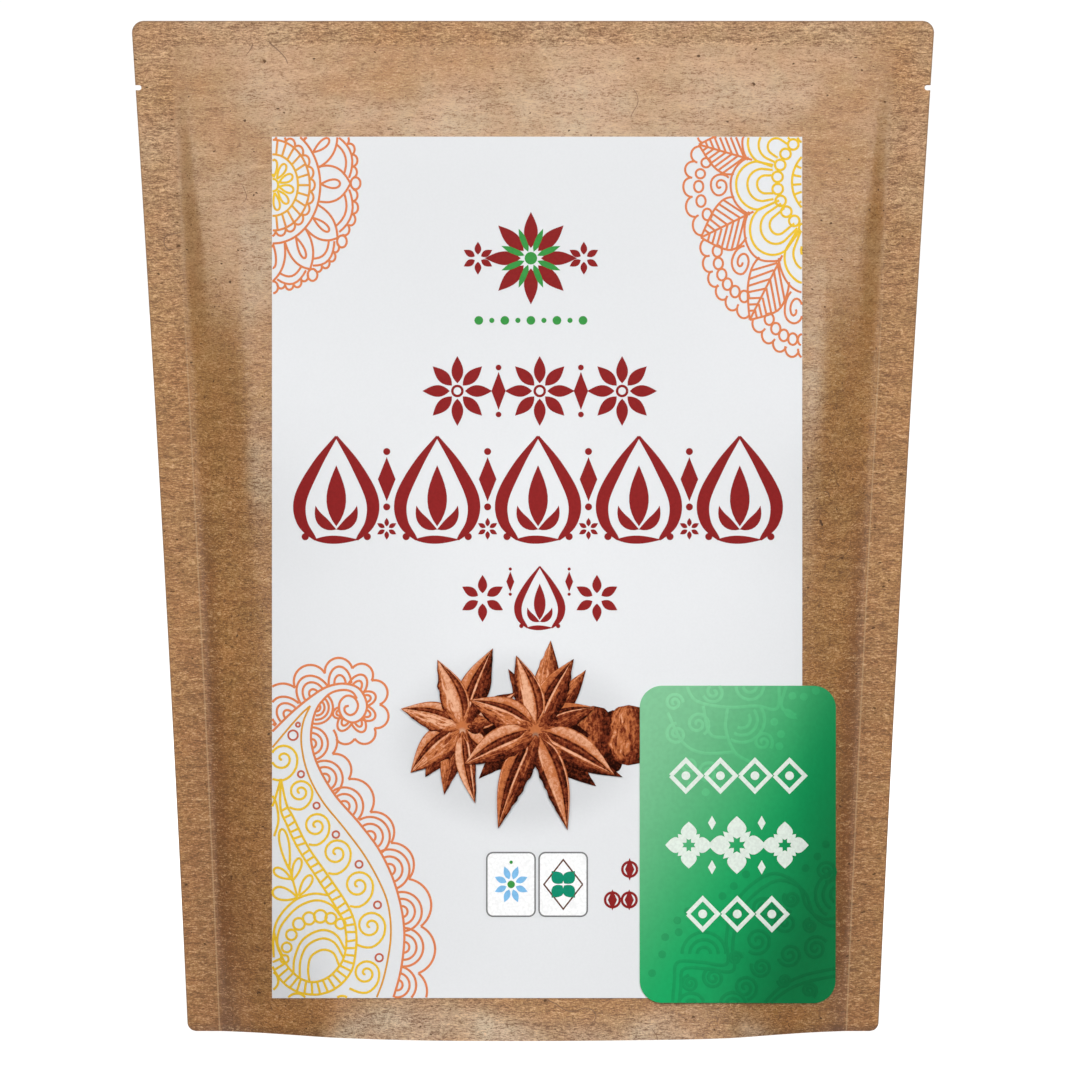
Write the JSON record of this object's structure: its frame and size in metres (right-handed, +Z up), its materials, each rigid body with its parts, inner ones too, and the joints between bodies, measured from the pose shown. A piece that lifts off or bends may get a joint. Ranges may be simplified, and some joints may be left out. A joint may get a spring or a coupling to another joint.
{
  "type": "kraft paper stand-up pouch",
  "caption": "Filled kraft paper stand-up pouch, heat-sealed shut and tapering to its base, with a tall pale label and a rounded green badge on the front.",
  "frame": {"origin": "middle of the base, on the surface that the pouch stands on", "axes": "+Z up to the top seal, -Y out of the labelled front, +X to the right as seen from the front"},
  "size_m": [0.1908, 0.0669, 0.2407],
  "materials": {
    "kraft_paper": "natural brown kraft, fibrous, with a faint laminate sheen",
    "label_paper": "smooth pale grey-white, printed with fine orange, yellow and dark red ornament",
    "badge_paper": "smooth green print that runs from light at the upper left to dark at the lower right"
  },
  "bodies": {
    "root": {"pouch": "kraft_paper", "label": "label_paper", "badge": "badge_paper"}
  },
  "joints": []
}
